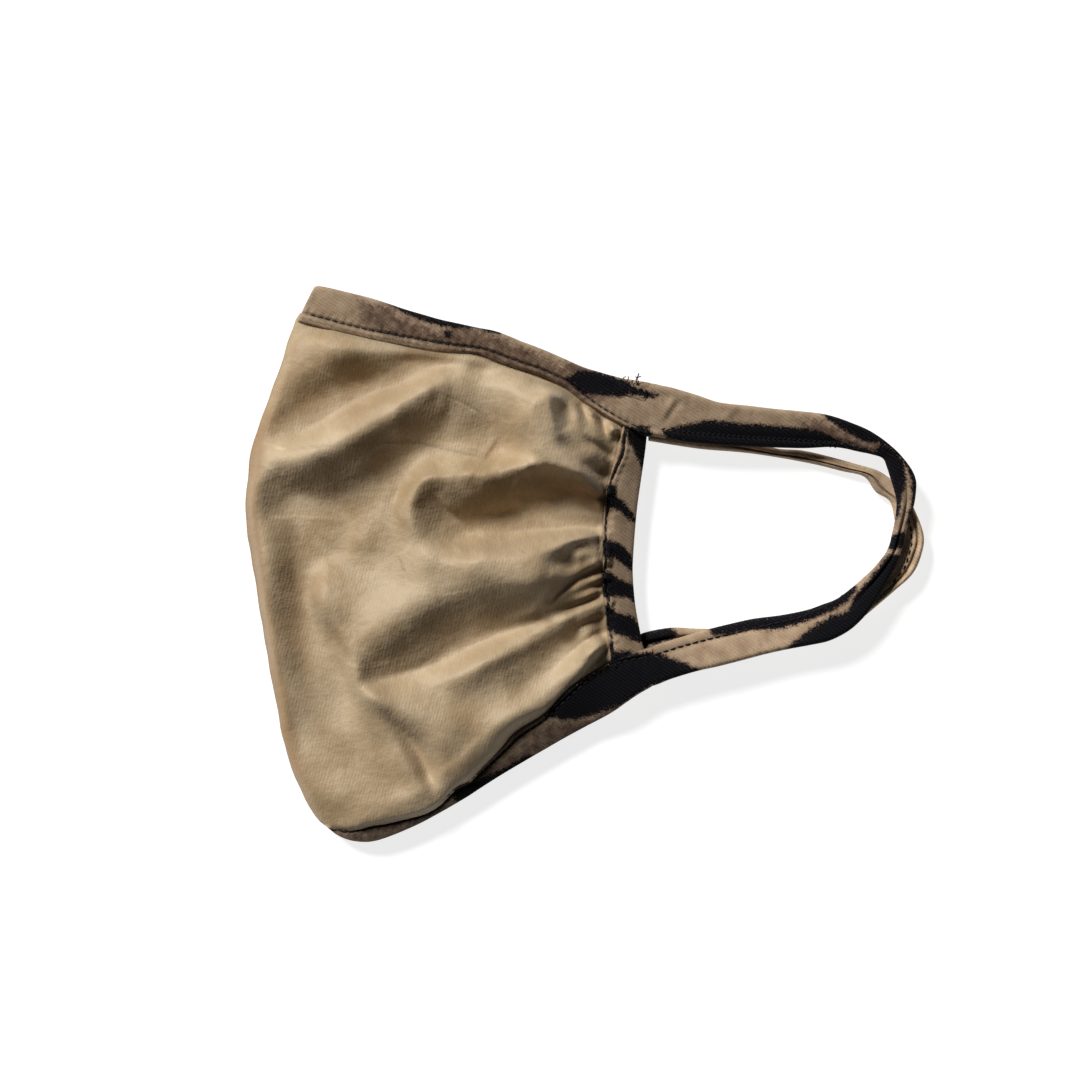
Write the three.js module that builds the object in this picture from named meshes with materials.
// Fabric face mask with taped edges, folded flat in half along its centre-front seam.
// Millimetres. +Z up. The mask lies on the plane z = 0; the right half (as worn) is
// underneath, the left half on top, the nose towards +Y, the chin towards -Y, the
// folded centre-front seam at -X and the ear loops at +X.
import * as THREE from 'three';
import { mergeVertices } from 'three/addons/utils/BufferGeometryUtils.js';

// ---------------------------------------------------------------- driving dimensions
// Binding tape
const TAPE_LEAF = 0.5;         // thickness of one leaf of the folded tape
const TAPE_STACK = 2.9;        // thickness of the finished, folded binding
const FOLD_CORNER = 0.6;       // height of the chamfers along the tape's fold

// How the two halves lie
const HALF_GAP = 0.15;         // each half stands this far off the fold plane at the seam
const UPPER_RISE = 1.4;        // the upper half lifts this much more, away from the seam
const LOWER_DROP = 1.75;       // the lower half drops this much, down to the table
const PARTING_LENGTH = 25;     // distance from the seam over which the halves part
const LOWER_SHIFT = 0.8;       // the lower half moves this far towards -X where parted
const LOWER_SHRINK = 0.008;    // and is this fraction shorter along Y
const FOLD_Z = TAPE_STACK + LOWER_DROP + HALF_GAP;   // plane between the halves
const UPPER_TAPE_Z = FOLD_Z + HALF_GAP + UPPER_RISE; // underside of the parted upper bindings

// Cloth; levels are heights above the inner face of the binding
const CLOTH = 0.5;             // thickness of one layer
const LINING_LEVEL = 0.8;
const PANEL_LEVEL = 1.6;
const PANEL_SEAM_LEVEL = 0.4;  // cheek panel level at its free seam edge
const SEAM_DIP_WIDTH = 3.2;    // width over which the panel comes in to that level
const SEAM_BIAS = 0.7;         // crowds the cloth's cross lines towards the seam
const TUCK = 0.35;             // how far into the binding the cloth reaches (0 fold, 1 edge)
const SEAM_CLEARANCE = 0.45;   // cloth edge to the seam outline
const LINING_INSET = 4.4;      // the lining stops this much further from the seam
const PANEL_CROWN = 4.6;       // how far the upper cheek panel bellies up
const LINING_CROWN = 3.2;      // the same for its lining
const PANEL_SAG = TAPE_STACK - PANEL_LEVEL - CLOTH; // brings the lower panel to the table
const LINING_SAG = 0.3;        // how far the lower lining sags

// Thread
const THREAD_R = 0.24;
const THREAD_GAP = 0.3;        // clearance between thread and cloth
const THREAD_STANDOFF = THREAD_GAP + THREAD_R; // cloth face to thread axis

// ---------------------------------------------------------------- curve and field helpers
const curve = (points) => new THREE.CatmullRomCurve3(
  points.map(([x, y]) => new THREE.Vector3(x, y, 0)), false, 'centripetal');
const clamp01 = (t) => Math.min(1, Math.max(0, t));
const lerp = (a, b, t) => a + (b - a) * t;
const smooth = (from, to, x) => {
  const t = clamp01((x - from) / (to - from));
  return t * t * (3 - 2 * t);
};
// 0 near both ends of the range 0..1, rising smoothly to 1 in the middle
const betweenEnds = (from, to, t) => smooth(from, to, t) * smooth(from, to, 1 - t);

// ---------------------------------------------------------------- outlines, rows of [x, y]
// Centre-front seam, chin to nose
const seam = curve([
  [-75.93, -70.49], [-77.71, -68.75], [-81.76, -60.37], [-84.46, -52.08], [-86.09, -43.85],
  [-86.9, -35.68], [-87.99, -27.49], [-88.8, -19.32], [-89.62, -11.15], [-90.17, -3],
  [-90.98, 5.17], [-91.53, 13.33], [-91.53, 17.39], [-91, 21.41], [-89.66, 29.44],
  [-86.97, 37.38], [-83.48, 45.27], [-79.98, 53.16], [-77.03, 61.08], [-73.53, 68.97],
  [-70.79, 73.66], [-68.79, 75.29],
]);

// Each band runs between an outer edge and an inner edge. For the bindings:
// steps: divisions along the tape; stitchAt: stitch line across the tape (0 outer, 1 inner);
// stitchSteps: divisions along the stitch; stitchSpan: its start and end along the tape,
// where the start of the top and bottom stitches is set by the half instead.
const bindings = {
  // seam to side
  top: {
    outer: curve([
      [-68.79, 75.29], [-66.36, 75.13], [-59.22, 72.63], [-49.93, 69.85], [-40.99, 66.02],
      [-31.71, 63.05], [-20.01, 59.91], [-12.37, 56.83], [-2.12, 52.1], [6.52, 47.74],
      [13.36, 44.86], [19.74, 43.09],
    ]),
    inner: curve([
      [-73.87, 66.28], [-62.05, 62.53], [-45.91, 56.98], [-31.47, 54.43], [-25.29, 53.62],
      [-20.56, 51.53], [-11.33, 47.84], [-1.93, 42.7], [4.8, 38.12], [10.21, 33.97],
      [14.87, 30.69], [18.79, 28.67],
    ]),
    steps: 20, stitchAt: 0.8, stitchSteps: 22, stitchSpan: [null, 0.99],
  },
  // top to bottom; the inner edge is the gathered one
  side: {
    outer: curve([
      [18.61, 27.87], [18.05, 25.61], [16.76, 20.39], [15.13, 12], [13.21, 1.31],
      [12.49, -3.52], [11.95, -11.6], [12.4, -19.2], [13.16, -24.13], [13.51, -27.12],
    ]),
    inner: curve([
      [11.93, 31.29], [10.36, 28.01], [8, 20.86], [6.21, 14.21], [4.65, 7.01], [4.07, 2.18],
      [3.46, -6.98], [3.87, -13.23], [4, -19.46], [4.08, -24.34], [4.21, -30.57],
    ]),
    steps: 12, stitchAt: 0.85, stitchSteps: 14, stitchSpan: [0.03, 0.97],
  },
  // seam to side
  bottom: {
    outer: curve([
      [-75.93, -70.49], [-72.87, -73.27], [-69.46, -74.98], [-65.71, -75.63], [-59.99, -74.92],
      [-50.01, -71.39], [-40.8, -67.12], [-32.64, -62.24], [-21.17, -56.5], [-9.97, -50.91],
      [0.38, -45.74], [6.9, -41.19], [14.11, -38.53],
    ]),
    inner: curve([
      [-79.11, -65.42], [-75.21, -67.84], [-70.7, -69.21], [-65.86, -69.53], [-59.59, -68.86],
      [-51.31, -66.43], [-44.88, -63.33], [-38.98, -59.93], [-28.28, -53.6], [-18.98, -47.99],
      [-11.37, -43.35], [-4.25, -37.86], [5.17, -32.53], [14.78, -28.29],
    ]),
    steps: 20, stitchAt: 0.82, stitchSteps: 22, stitchSpan: [null, 0.99],
  },
};

// Ear loops, from the top binding round to the bottom one
const leftLoopEdges = {
  outer: curve([
    [21.06, 42.6], [26.28, 41.31], [38.52, 36.44], [53.21, 33.58], [65.8, 31.67],
    [73.98, 28.54], [81.27, 24.16], [85.85, 19.67], [89.29, 14.44], [90, 10.33],
    [89.29, 6.18], [87.51, -0.33], [85.42, -5.87], [83.01, -11.13], [80.47, -16.91],
    [74.84, -24.39], [63.92, -29.9], [52.46, -31.31], [39.33, -33.56], [27.43, -35.53],
    [15.76, -38.1],
  ]),
  inner: curve([
    [20.23, 27.9], [30, 26.18], [44.47, 24.15], [53.88, 23.26], [60.88, 22.64],
    [67.64, 22.62], [75.1, 20.78], [81.73, 18.72], [83.26, 13.21], [84.36, 9.35],
    [84.4, 5.83], [83.2, -0.04], [81.27, -4.79], [79.15, -8.17], [75.36, -12.25],
    [66.82, -18.72], [58.27, -21.14], [43.85, -22.35], [37.29, -23.41], [29.06, -25.17],
    [16.86, -27.61],
  ]),
};
const rightLoopEdges = {
  outer: curve([
    [20.93, 40.57], [33.11, 36.53], [49.1, 32.77], [65.05, 28.48], [75.58, 24],
    [83.31, 18.08], [87.72, 11.02], [89.66, 3.59], [91.66, -3.04], [91.18, -6.25],
    [87.76, -13.06], [79.11, -21.15], [74.55, -24.64], [63.96, -29.36], [53.04, -30.8],
    [39.39, -32.61], [25.74, -34.42], [15.87, -36.48],
  ]),
  inner: curve([
    [20.49, 29.78], [32.46, 26.56], [43.9, 23.64], [56.94, 20.35], [67.04, 17.52],
    [76.29, 14.21], [79.65, 11.82], [81.56, 7.91], [83.2, 4.01], [83.69, -0.89],
    [82.83, -5.7], [79.82, -10.37], [74.61, -15.44], [67.85, -19.6], [59.57, -22.03],
    [48.08, -23.98], [29.04, -25.44], [17.07, -24.38],
  ]),
};

// ---------------------------------------------------------------- the lie of the two halves
const seamPoints = seam.getSpacedPoints(200);
const seamStart = seamPoints[0];
const seamEnd = seamPoints[seamPoints.length - 1];

function seamX(y) {
  if (y <= seamStart.y) return seamStart.x;
  const i = seamPoints.findIndex((point) => y <= point.y);
  if (i < 0) return seamEnd.x;
  const before = seamPoints[i - 1];
  const after = seamPoints[i];
  return lerp(before.x, after.x, (y - before.y) / (after.y - before.y));
}

// 0 at the seam, 1 where the halves have fully parted
function parting(x, y) {
  const t = clamp01((x - seamX(y)) / PARTING_LENGTH);
  return 1 - (1 - t) * (1 - t);
}

// place: puts a flat point on the half, at a height measured outwards from the inner face
// of the binding. belly: shape, 0 to 1, in which the cloth bulges outwards; u runs from
// the seam to the side, v from chin to nose.
const halves = [
  {
    side: 'left',
    place: (x, y, height) => [x, y, FOLD_Z + HALF_GAP + UPPER_RISE * parting(x, y) + height],
    belly: (u, v) => smooth(0.1, 0.38, 1 - u) * smooth(0, 0.35, u) * betweenEnds(0.15, 0.42, v),
    panelBelly: PANEL_CROWN,
    liningBelly: LINING_CROWN,
    stitchHeight: TAPE_STACK + THREAD_STANDOFF, // on the outer face
    stitchStart: 0.01,
  },
  {
    side: 'right',
    place: (x, y, height) => {
      const parted = parting(x, y);
      return [
        x - LOWER_SHIFT * parted,
        y * (1 - LOWER_SHRINK * parted),
        FOLD_Z - HALF_GAP - LOWER_DROP * parted - height,
      ];
    },
    belly: (u, v) => smooth(0.13, 0.2, 1 - u) * smooth(0, 0.12, u) * betweenEnds(0.15, 0.22, v),
    panelBelly: PANEL_SAG,
    liningBelly: LINING_SAG,
    stitchHeight: -THREAD_STANDOFF, // on the inner face, towards the other half
    stitchStart: 0.2,
  },
];

// ---------------------------------------------------------------- mesh helpers
function signedVolume(geometry) {
  const position = geometry.attributes.position;
  const index = geometry.index.array;
  const corners = [0, 1, 2].map(() => new THREE.Vector3());
  let sum = 0;
  for (let i = 0; i < index.length; i += 3) {
    corners.forEach((corner, k) => corner.fromBufferAttribute(position, index[i + k]));
    sum += corners[0].dot(corners[1].cross(corners[2]));
  }
  return sum / 6;
}

// Bends a plain closed geometry through a mapping, keeping it one closed body that
// faces outwards.
function bend(source, map) {
  source.deleteAttribute('normal');
  source.deleteAttribute('uv');
  source.clearGroups();
  const geometry = mergeVertices(source, 1e-5);
  const position = geometry.attributes.position;
  for (let i = 0; i < position.count; i++) {
    position.setXYZ(i, ...map(position.getX(i), position.getY(i), position.getZ(i)));
  }
  if (signedVolume(geometry) < 0) {
    const index = geometry.index.array;
    for (let i = 0; i < index.length; i += 3) {
      [index[i], index[i + 1]] = [index[i + 1], index[i]];
    }
  }
  geometry.computeVertexNormals();
  return geometry;
}

// Point at t along a band and s across it (0 outer edge, 1 inner edge)
function pointOnBand(band, t, s) {
  const outer = band.outer.getPointAt(t);
  const inner = band.inner.getPointAt(t);
  return [lerp(outer.x, inner.x, s), lerp(outer.y, inner.y, s)];
}

// Sweeps a section along a band. Section rows are [s across the band, height];
// toSpace(x, y, height, t) gives the final point.
function sweptBand(band, section, steps, toSpace) {
  const shape = new THREE.Shape(section.map(([s, height]) => new THREE.Vector2(s, height)));
  shape.closePath();
  const source = new THREE.ExtrudeGeometry(shape, { depth: 1, steps, bevelEnabled: false });
  return bend(source, (s, height, t) => toSpace(...pointOnBand(band, t, s), height, t));
}

// Straight thread of unit length along Y, with five sides
const straightThread = (radius, steps) =>
  new THREE.CylinderGeometry(radius, radius, 1, 5, steps, false);

// Thread laid along a band; toSpace takes the height above the thread's axis.
function bandThread(band, { at, steps, span: [start, end] }, toSpace) {
  return bend(straightThread(THREAD_R, steps), (across, along, up) => {
    const t = lerp(start, end, along + 0.5);
    const outer = band.outer.getPointAt(t);
    const inner = band.inner.getPointAt(t);
    const direction = inner.clone().sub(outer).normalize();
    const x = lerp(outer.x, inner.x, at) + direction.x * across;
    const y = lerp(outer.y, inner.y, at) + direction.y * across;
    return toSpace(x, y, up, t);
  });
}

// ---------------------------------------------------------------- bindings
// Folded tape: a U section with its fold on the outer edge, open on the inner edge
function bindingGeometry(half, binding) {
  const section = [
    [0, FOLD_CORNER], [0, TAPE_STACK - FOLD_CORNER], [0.06, TAPE_STACK], [1, TAPE_STACK],
    [1, TAPE_STACK - TAPE_LEAF], [0.1, TAPE_STACK - TAPE_LEAF],
    [0.1, TAPE_LEAF], [1, TAPE_LEAF], [1, 0], [0.06, 0],
  ];
  return sweptBand(binding, section, binding.steps, half.place);
}

function bindingThread(half, binding, height, options) {
  return bandThread(binding, options, (x, y, up) => half.place(x, y, height + up));
}

function bindingStitching(half, binding) {
  const [start, end] = binding.stitchSpan;
  return bindingThread(half, binding, half.stitchHeight, {
    at: binding.stitchAt,
    steps: binding.stitchSteps,
    span: [start ?? half.stitchStart, end],
  });
}

// ---------------------------------------------------------------- cloth
// Edges of the cloth: three tucked into the bindings, the left one free along the seam
function clothEdges(seamInset) {
  const steps = 24;
  const sideSteps = 10;
  const top = [];
  const bottom = [];
  for (let k = 0; k <= steps; k++) {
    top.push(pointOnBand(bindings.top, lerp(0.004, 0.95, k / steps), TUCK));
    bottom.push(pointOnBand(bindings.bottom, lerp(0.004, 0.955, k / steps), TUCK));
  }
  top[0][0] += seamInset;
  bottom[0][0] += seamInset;

  const right = [bottom[steps]];
  for (let k = 1; k < sideSteps; k++) {
    right.push(pointOnBand(bindings.side, 1 - k / sideSteps, TUCK));
  }
  right.push(top[steps]);

  const left = [bottom[0]];
  for (let k = 1; k < steps; k++) {
    const y = lerp(bottom[0][1], top[0][1], k / steps);
    left.push([seamX(y) + seamInset + SEAM_CLEARANCE, y]);
  }
  left.push(top[0]);
  return { top: curve(top), bottom: curve(bottom), right: curve(right), left: curve(left) };
}

// Coons patch: fills in between the four edges
function patchPoint({ top, bottom, left, right }, u, v) {
  const weighted = [
    [bottom.getPointAt(u), 1 - v],
    [top.getPointAt(u), v],
    [left.getPointAt(v), 1 - u],
    [right.getPointAt(v), u],
    [bottom.getPointAt(0), -(1 - u) * (1 - v)],
    [bottom.getPointAt(1), -u * (1 - v)],
    [top.getPointAt(0), -(1 - u) * v],
    [top.getPointAt(1), -u * v],
  ];
  const sum = new THREE.Vector3();
  weighted.forEach(([point, weight]) => sum.addScaledVector(point, weight));
  return sum;
}

// seamDip brings the free seam edge in towards the fold plane, clear of the bindings.
function sheetGeometry(half, { seamInset, level, belly, seamDip, uSteps, vSteps }) {
  const edges = clothEdges(seamInset);
  return bend(new THREE.BoxGeometry(1, 1, 1, uSteps, vSteps, 1), (boxX, boxY, boxZ) => {
    const evenU = boxX + 0.5;
    const u = lerp(evenU, evenU ** 2, SEAM_BIAS);
    const v = boxY + 0.5;
    const { x, y } = patchPoint(edges, u, v);
    const nearSeam = 1 - smooth(0, SEAM_DIP_WIDTH, x - seamX(y));
    const dip = seamDip * betweenEnds(0.07, 0.16, v) * nearSeam;
    const height = level + belly * half.belly(u, v) - dip;
    return half.place(x, y, height + (boxZ + 0.5) * CLOTH);
  });
}

const cheekPanel = (half) => sheetGeometry(half, {
  seamInset: 0,
  level: PANEL_LEVEL,
  belly: half.panelBelly,
  seamDip: PANEL_LEVEL - PANEL_SEAM_LEVEL,
  uSteps: 18,
  vSteps: 14,
});

const liningPanel = (half) => sheetGeometry(half, {
  seamInset: LINING_INSET,
  level: LINING_LEVEL,
  belly: half.liningBelly,
  seamDip: 0,
  uSteps: 14,
  vSteps: 12,
});

// ---------------------------------------------------------------- centre seam
function centreSeamThread() {
  const startY = seamStart.y + 9;
  const endY = seamEnd.y - 11;
  const seamGap = 0.05;
  return bend(straightThread(THREAD_R, 28), (across, along, up) => {
    const y = lerp(startY, endY, along + 0.5);
    return [seamX(y) + THREAD_R + seamGap + across, y, FOLD_Z + up];
  });
}

// ---------------------------------------------------------------- ear loops
// 0 at the roots, 1 at the tip of the loop
const towardsTip = (t) => betweenEnds(0.05, 0.45, t);

// bottom: height of the underside; tipThickness: thickness at the tip
const earLoops = [
  {
    side: 'left',
    edges: leftLoopEdges,
    bottom: (t) => lerp(UPPER_TAPE_Z, 5.0, towardsTip(t)),
    tipThickness: 4.4,
    stitch: { at: 0.78, steps: 40, span: [0.012, 0.988] },
  },
  {
    side: 'right',
    edges: rightLoopEdges,
    bottom: () => 0,
    tipThickness: 3.6,
    stitch: { at: 0.3, steps: 10, span: [0.4, 0.6] },
  },
];

// As thick as the binding at the roots
const loopThickness = (loop, t) => lerp(TAPE_STACK, loop.tipThickness, towardsTip(t));

// A strap with chamfered corners; section heights are fractions of the thickness
function loopGeometry(loop) {
  const section = [
    [0, 0.28], [0, 0.72], [0.1, 1], [0.9, 1], [1, 0.72], [1, 0.28], [0.9, 0], [0.1, 0],
  ];
  return sweptBand(loop.edges, section, 44, (x, y, height, t) =>
    [x, y, loop.bottom(t) + height * loopThickness(loop, t)]);
}

function loopStitching(loop) {
  return bandThread(loop.edges, loop.stitch, (x, y, up, t) =>
    [x, y, loop.bottom(t) + loopThickness(loop, t) + THREAD_STANDOFF + up]);
}

// ---------------------------------------------------------------- tape lap and thread tail
const LAP_Z = UPPER_TAPE_Z + TAPE_STACK + THREAD_GAP;

// Cut end of the tape, lapped over where the top binding runs on into the ear loop
function tapeLap() {
  const size = { x: 6.4, y: 3.0, z: 0.55 };
  const centre = { x: 14.6, y: 42.6 };
  const angle = -0.22; // radians about Z
  const cos = Math.cos(angle);
  const sin = Math.sin(angle);
  return bend(new THREE.BoxGeometry(1, 1, 1, 3, 2, 1), (boxX, boxY, boxZ) => {
    const x = boxX * size.x;
    const y = boxY * size.y;
    return [
      centre.x + x * cos - y * sin,
      centre.y + x * sin + y * cos,
      LAP_Z + (boxZ + 0.5) * size.z,
    ];
  });
}

// Loose thread end curling up beside the lap
function threadTail() {
  // [x, y, height above LAP_Z]
  const path = [[15.1, 44.9, 1.0], [16.4, 45.0, 1.3], [17.2, 45.9, 1.8], [16.9, 47.0, 2.2]];
  const tail = new THREE.CatmullRomCurve3(
    path.map(([x, y, height]) => new THREE.Vector3(x, y, LAP_Z + height)));
  return bend(straightThread(0.2, 8), (x, y, z) => {
    const tangent = tail.getTangentAt(y + 0.5);
    const normal = new THREE.Vector3(-tangent.y, tangent.x, 0).normalize();
    const binormal = new THREE.Vector3().crossVectors(tangent, normal);
    return tail.getPointAt(y + 0.5)
      .addScaledVector(normal, x)
      .addScaledVector(binormal, z)
      .toArray();
  });
}

// ---------------------------------------------------------------- materials
const fabric = ({ color, roughness }) =>
  new THREE.MeshStandardMaterial({ color, roughness, metalness: 0 });
const tanKnit = () => fabric({ color: 0xb89a6c, roughness: 0.62 });
const liningCloth = () => fabric({ color: 0x9c835c, roughness: 0.8 });
const brownTape = () => fabric({ color: 0x7b624a, roughness: 0.8 });
const blackThread = () => fabric({ color: 0x17171b, roughness: 0.65 });
const tanThread = () => fabric({ color: 0xa58a62, roughness: 0.7 });

// ---------------------------------------------------------------- assembly
const mask = new THREE.Group();

function add(name, geometry, material) {
  const mesh = new THREE.Mesh(geometry, material);
  mesh.name = name;
  mask.add(mesh);
}

for (const half of halves) {
  const { side } = half;
  add(`${side}_cheek_panel`, cheekPanel(half), tanKnit());
  add(`${side}_lining_panel`, liningPanel(half), liningCloth());
  for (const [edge, binding] of Object.entries(bindings)) {
    add(`${side}_${edge}_binding`, bindingGeometry(half, binding), brownTape());
  }
  for (const [edge, binding] of Object.entries(bindings)) {
    add(`${side}_${edge}_stitching`, bindingStitching(half, binding), blackThread());
  }
  // runs inside the side binding, midway between its leaves
  const gathering = { at: 0.21, steps: 12, span: [0.05, 0.95] };
  add(`${side}_gathering_thread`,
    bindingThread(half, bindings.side, TAPE_STACK / 2, gathering), tanThread());
}

add('centre_seam_thread', centreSeamThread(), tanThread());

for (const loop of earLoops) {
  add(`${loop.side}_ear_loop`, loopGeometry(loop), brownTape());
}
for (const loop of earLoops) {
  add(`${loop.side}_ear_loop_stitching`, loopStitching(loop), blackThread());
}

add('left_tape_lap', tapeLap(), brownTape());
add('left_thread_tail', threadTail(), blackThread());

export default mask;
